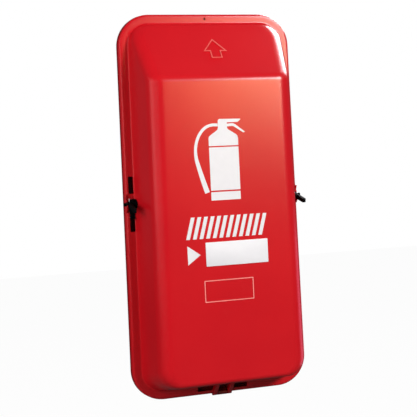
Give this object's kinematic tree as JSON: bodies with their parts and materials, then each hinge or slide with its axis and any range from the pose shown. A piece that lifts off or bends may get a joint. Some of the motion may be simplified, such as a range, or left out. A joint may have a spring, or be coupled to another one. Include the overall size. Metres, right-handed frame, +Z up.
{
  "type": "fire extinguisher cabinet",
  "caption": "Wall cabinet in red moulded plastic for a portable fire extinguisher: back shell, deep front cover with a sloped top, bottom hinge and side latch levers.",
  "frame": {"origin": "middle of the flat back that lies on the wall", "axes": "+Z up, +Y into the wall, so the cover faces -Y and +X is the right side seen from the front"},
  "size_m": [0.323, 0.1913, 0.6734],
  "materials": {
    "red_cover": "satin gloss moulded plastic",
    "red_back": "satin moulded plastic",
    "black_latch": "smooth matt",
    "pin_steel": "plain",
    "white_plate": "printed, smooth"
  },
  "bodies": {
    "base": {"back_panel": "red_back", "back_shell": "red_back", "hinge_block": "red_back", "hinge_pin": "pin_steel"},
    "cover": {"cover_face": "red_cover", "front_cover": "red_cover", "hinge_lug_left": "red_cover", "hinge_lug_right": "red_cover", "latch_ear_inner_left": "black_latch", "latch_ear_inner_right": "black_latch", "latch_ear_outer_left": "red_cover", "latch_ear_outer_right": "red_cover", "latch_pin_left": "black_latch", "latch_pin_right": "black_latch", "number_plate": "white_plate", "up_arrow": "red_cover"},
    "lever_left": {"latch_lever_left": "black_latch"},
    "lever_right": {"latch_lever_right": "black_latch"}
  },
  "joints": [
    {"name": "cover_hinge", "type": "hinge", "parent": "base", "child": "cover", "pos_m": [0, -0.097, -0.334], "axis": [1, 0, 0], "range_deg": [0, 110]},
    {"name": "latch_left", "type": "hinge", "parent": "cover", "child": "lever_left", "pos_m": [-0.1457, -0.109, 0.0105], "axis": [1, 0, 0], "range_deg": [-100, 77]},
    {"name": "latch_right", "type": "hinge", "parent": "cover", "child": "lever_right", "pos_m": [0.1457, -0.109, 0.0105], "axis": [1, 0, 0], "range_deg": [-100, 77]}
  ]
}
